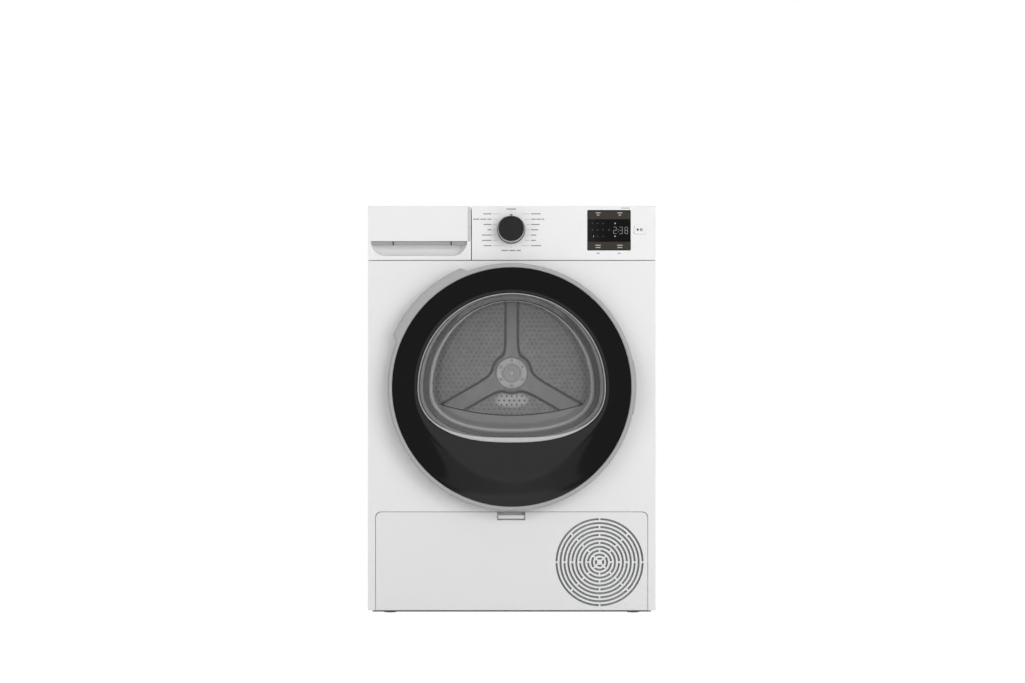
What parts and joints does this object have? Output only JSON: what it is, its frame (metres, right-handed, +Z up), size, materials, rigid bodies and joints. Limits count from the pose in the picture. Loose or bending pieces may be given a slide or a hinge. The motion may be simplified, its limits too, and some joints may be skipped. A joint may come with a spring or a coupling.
{
  "type": "clothes dryer",
  "caption": "Front-loading clothes dryer with heat pump: round door with D-shaped window, programme knob, display, water drawer, kick flap with ring grille.",
  "frame": {"origin": "on the floor, in the middle of the width and of the whole depth", "axes": "+Z up, -Y out of the door"},
  "size_m": [0.597, 0.654, 0.848],
  "materials": {
    "white_enamel": "smooth powder coat",
    "white_plastic": "fine satin moulding",
    "black_gloss": "polished",
    "dark_glass": "polished",
    "silver_paint": "metallic silver lacquer",
    "clear_bowl": "clear",
    "grey_plastic": "moulded",
    "dark_plastic": "moulded",
    "light_plastic": "moulded",
    "blue_plastic": "moulded",
    "tank_plastic": "translucent moulding",
    "galvanised": "galvanised sheet",
    "stainless": "brushed",
    "steel": "turned",
    "aluminium": "rolled fins",
    "copper": "drawn tube",
    "black_paint": "baked enamel",
    "board_green": "circuit board",
    "rubber": "moulded",
    "seal_grey": "moulded"
  },
  "bodies": {
    "cabinet": {"base_pan": "dark_plastic", "left_side_panel": "white_enamel", "right_side_panel": "white_enamel", "rear_panel": "galvanised", "rear_duct_cover": "galvanised", "worktop": "white_plastic", "front_panel": "white_enamel", "control_panel": "white_plastic", "display_window": "dark_glass", "control_board": "board_green", "knob_encoder": "dark_plastic", "tank_guide": "grey_plastic", "front_bulkhead": "light_plastic", "door_seal": "seal_grey", "lint_filter": "light_plastic", "rear_bulkhead": "galvanised", "drum_bearing": "grey_plastic", "drive_belt": "rubber", "motor_body": "steel", "process_fan_housing": "grey_plastic", "compressor": "black_paint", "heat_exchanger": "aluminium", "refrigerant_pipes": "copper", "condensate_pump": "dark_plastic", "exchanger_cover": "grey_plastic", "cooling_fan_frame": "dark_plastic", "hinge_bracket": "steel", "door_catch": "dark_plastic", "drain_spigot": "light_plastic", "panel_screws": "steel"},
    "door": {"door_ring": "silver_paint", "door_trim": "black_gloss", "door_window": "clear_bowl", "door_inner_frame": "light_plastic", "door_hinge_arm": "steel", "door_latch_hook": "steel"},
    "tank_drawer": {"drawer_front": "white_plastic", "water_tank": "tank_plastic"},
    "knob": {"programme_knob": "black_gloss", "knob_ring": "silver_paint"},
    "button": {"start_button": "white_plastic"},
    "flap": {"kick_flap": "white_plastic"},
    "latch_tab": {"flap_latch": "white_plastic"},
    "drum": {"drum_shell": "stainless", "drum_rear_wall": "stainless", "drum_spider": "stainless", "hub_plate": "stainless", "hub_screws": "steel", "drum_lifters": "light_plastic"},
    "motor_rotor": {"motor_shaft": "steel", "fan_wheel": "dark_plastic"},
    "left_roller": {"left_support_roller": "dark_plastic"},
    "right_roller": {"right_support_roller": "dark_plastic"},
    "cooling_fan": {"cooling_fan_rotor": "dark_plastic"},
    "left_lock": {"left_cover_lock": "blue_plastic"},
    "right_lock": {"right_cover_lock": "blue_plastic"},
    "front_left_foot": {"foot_front_left": "rubber"},
    "front_right_foot": {"foot_front_right": "rubber"},
    "rear_left_foot": {"foot_rear_left": "rubber"},
    "rear_right_foot": {"foot_rear_right": "rubber"}
  },
  "joints": [
    {"name": "door_hinge", "type": "hinge", "parent": "cabinet", "child": "door", "pos_m": [0.24, -0.31, 0.471], "axis": [0, 0, 1], "range_deg": [0, 115]},
    {"name": "tank_slide", "type": "slide", "parent": "cabinet", "child": "tank_drawer", "axis": [0, -1, 0], "range_m": [0, 0.36]},
    {"name": "knob_turn", "type": "hinge", "parent": "cabinet", "child": "knob", "pos_m": [-0.001, -0.281, 0.798], "axis": [0, 1, 0], "continuous": true},
    {"name": "button_press", "type": "slide", "parent": "cabinet", "child": "button", "axis": [0, 1, 0], "range_m": [0, 0.0015], "stiffness_N_per_m": 800, "springref_m": -0.001},
    {"name": "flap_hinge", "type": "hinge", "parent": "cabinet", "child": "flap", "pos_m": [0, -0.2735, 0.0176], "axis": [1, 0, 0], "range_deg": [0, 85]},
    {"name": "latch_press", "type": "slide", "parent": "flap", "child": "latch_tab", "axis": [0, 0, -1], "range_m": [0, 0.0025], "stiffness_N_per_m": 400, "springref_m": -0.001},
    {"name": "drum_turn", "type": "hinge", "parent": "cabinet", "child": "drum", "pos_m": [0, 0, 0.511], "axis": [0, 1, 0], "continuous": true},
    {"name": "motor_turn", "type": "hinge", "parent": "cabinet", "child": "motor_rotor", "pos_m": [0.06, 0, 0.11], "axis": [0, 1, 0], "continuous": true},
    {"name": "left_roller_turn", "type": "hinge", "parent": "cabinet", "child": "left_roller", "pos_m": [-0.17116, -0.205, 0.26657], "axis": [0, 1, 0], "continuous": true},
    {"name": "right_roller_turn", "type": "hinge", "parent": "cabinet", "child": "right_roller", "pos_m": [0.17116, -0.205, 0.26657], "axis": [0, 1, 0], "continuous": true},
    {"name": "cooling_fan_turn", "type": "hinge", "parent": "cabinet", "child": "cooling_fan", "pos_m": [0.1824, -0.23, 0.13], "axis": [0, 1, 0], "continuous": true},
    {"name": "left_lock_turn", "type": "hinge", "parent": "cabinet", "child": "left_lock", "pos_m": [-0.235, -0.25, 0.172], "axis": [0, 1, 0], "range_deg": [0, 90]},
    {"name": "right_lock_turn", "type": "hinge", "parent": "cabinet", "child": "right_lock", "pos_m": [-0.035, -0.25, 0.172], "axis": [0, 1, 0], "range_deg": [0, 90]},
    {"name": "front_left_foot_turn", "type": "hinge", "parent": "cabinet", "child": "front_left_foot", "pos_m": [-0.255, -0.236, 0], "axis": [0, 0, 1], "continuous": true},
    {"name": "front_right_foot_turn", "type": "hinge", "parent": "cabinet", "child": "front_right_foot", "pos_m": [0.255, -0.236, 0], "axis": [0, 0, 1], "continuous": true},
    {"name": "rear_left_foot_turn", "type": "hinge", "parent": "cabinet", "child": "rear_left_foot", "pos_m": [-0.255, 0.267, 0], "axis": [0, 0, 1], "continuous": true},
    {"name": "rear_right_foot_turn", "type": "hinge", "parent": "cabinet", "child": "rear_right_foot", "pos_m": [0.255, 0.267, 0], "axis": [0, 0, 1], "continuous": true}
  ],
  "couplings": [
    {"joint": "motor_turn", "follows": "drum_turn", "ratio": 30.255},
    {"joint": "left_roller_turn", "follows": "drum_turn", "ratio": -18.893},
    {"joint": "right_roller_turn", "follows": "drum_turn", "ratio": -18.893}
  ]
}
